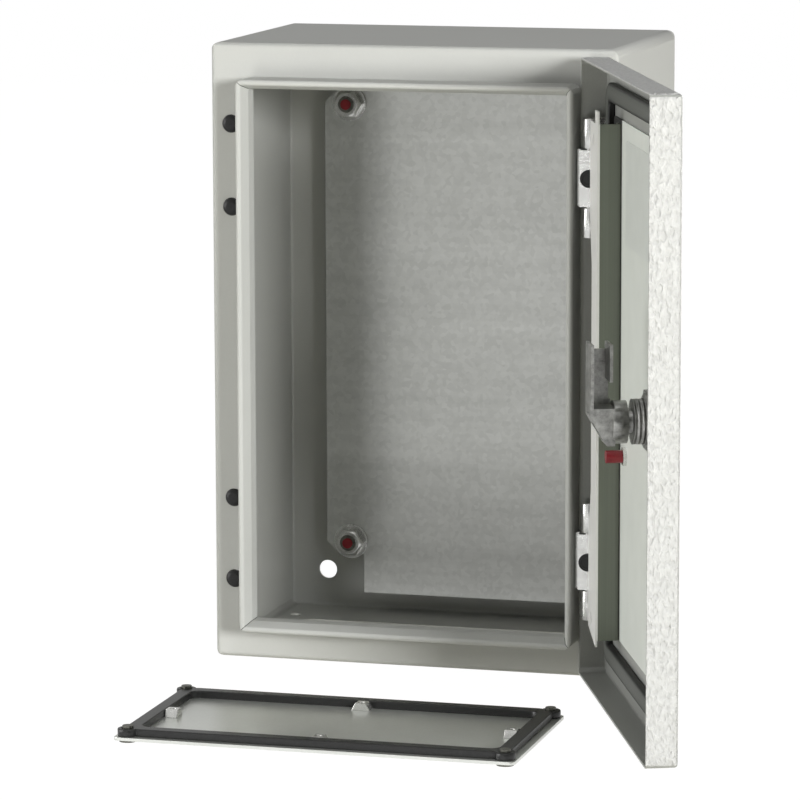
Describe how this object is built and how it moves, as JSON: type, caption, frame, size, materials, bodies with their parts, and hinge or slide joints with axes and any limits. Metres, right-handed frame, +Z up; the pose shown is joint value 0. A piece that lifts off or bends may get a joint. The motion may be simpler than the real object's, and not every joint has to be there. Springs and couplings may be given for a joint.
{
  "type": "steel wall enclosure",
  "caption": "Folded steel wall enclosure with a hinged quarter-turn locked door, a mounting plate on studs, and a loose gland plate for its bottom opening.",
  "frame": {"origin": "on the back face against the wall, at the centre of the rectangle of wall fixing holes", "axes": "+Y points into the wall, the door opens towards -Y, +Z is up and +X is the hinged side"},
  "size_m": [0.2725, 0.3144, 0.311],
  "materials": {
    "grey_powder_coat": "smooth light grey powder coat",
    "textured_powder_coat": "structured off-white powder coat outside, smooth grey inside",
    "galvanised_plate": "galvanised sheet",
    "zinc_hardware": "bright zinc plate",
    "strip_steel": "zinc plated sheet",
    "red_plastic": "moulded cap",
    "black_plastic": "moulded plug",
    "black_foam": "foamed sealing cord",
    "backer_paint": "smooth pale grey",
    "label_film": "blank white film",
    "lock_zinc": "zinc die casting",
    "gland_sheet": "galvanised sheet"
  },
  "bodies": {
    "cabinet": {"body_wrap": "grey_powder_coat", "back_panel": "grey_powder_coat", "plate_studs": "zinc_hardware", "mounting_plate": "galvanised_plate", "plate_washers": "zinc_hardware", "plate_nuts": "zinc_hardware", "stud_caps": "red_plastic", "blanking_plugs": "black_plastic", "hinge_bracket_upper": "zinc_hardware", "hinge_bracket_lower": "zinc_hardware", "hinge_bracket_screws": "zinc_hardware", "hinge_bracket_nuts": "zinc_hardware", "hinge_bracket_caps": "black_plastic"},
    "door": {"door_panel": "textured_powder_coat", "door_gasket": "black_foam", "door_leaf_upper": "zinc_hardware", "door_leaf_lower": "zinc_hardware", "hinge_pin_upper": "zinc_hardware", "hinge_pin_lower": "zinc_hardware", "door_backer": "backer_paint", "door_strip": "strip_steel", "door_label": "label_film", "door_earth_stud": "zinc_hardware", "door_earth_nut": "zinc_hardware", "earth_stud_cap": "red_plastic", "lock_housing": "lock_zinc", "lock_seal": "black_foam", "lock_nut": "lock_zinc"},
    "lock": {"lock_insert": "lock_zinc", "lock_cam": "lock_zinc", "cam_washer": "zinc_hardware", "cam_screw": "zinc_hardware"},
    "gland": {"gland_plate": "gland_sheet", "gland_gasket": "black_foam", "gland_lugs": "zinc_hardware", "gland_screws": "zinc_hardware"}
  },
  "joints": [
    {"name": "door_hinge", "type": "hinge", "parent": "cabinet", "child": "door", "pos_m": [0.09, -0.1395, 0], "axis": [0, 0, 1], "range_deg": [-112, 10]},
    {"name": "lock_turn", "type": "hinge", "parent": "door", "child": "lock", "pos_m": [0.14175, -0.27826, 0], "axis": [0.9272, 0.3746, 0], "range_deg": [0, 90]},
    {"name": "gland_lift", "type": "slide", "parent": "cabinet", "child": "gland", "axis": [0, 0, 1], "range_m": [0, 0.1]}
  ]
}
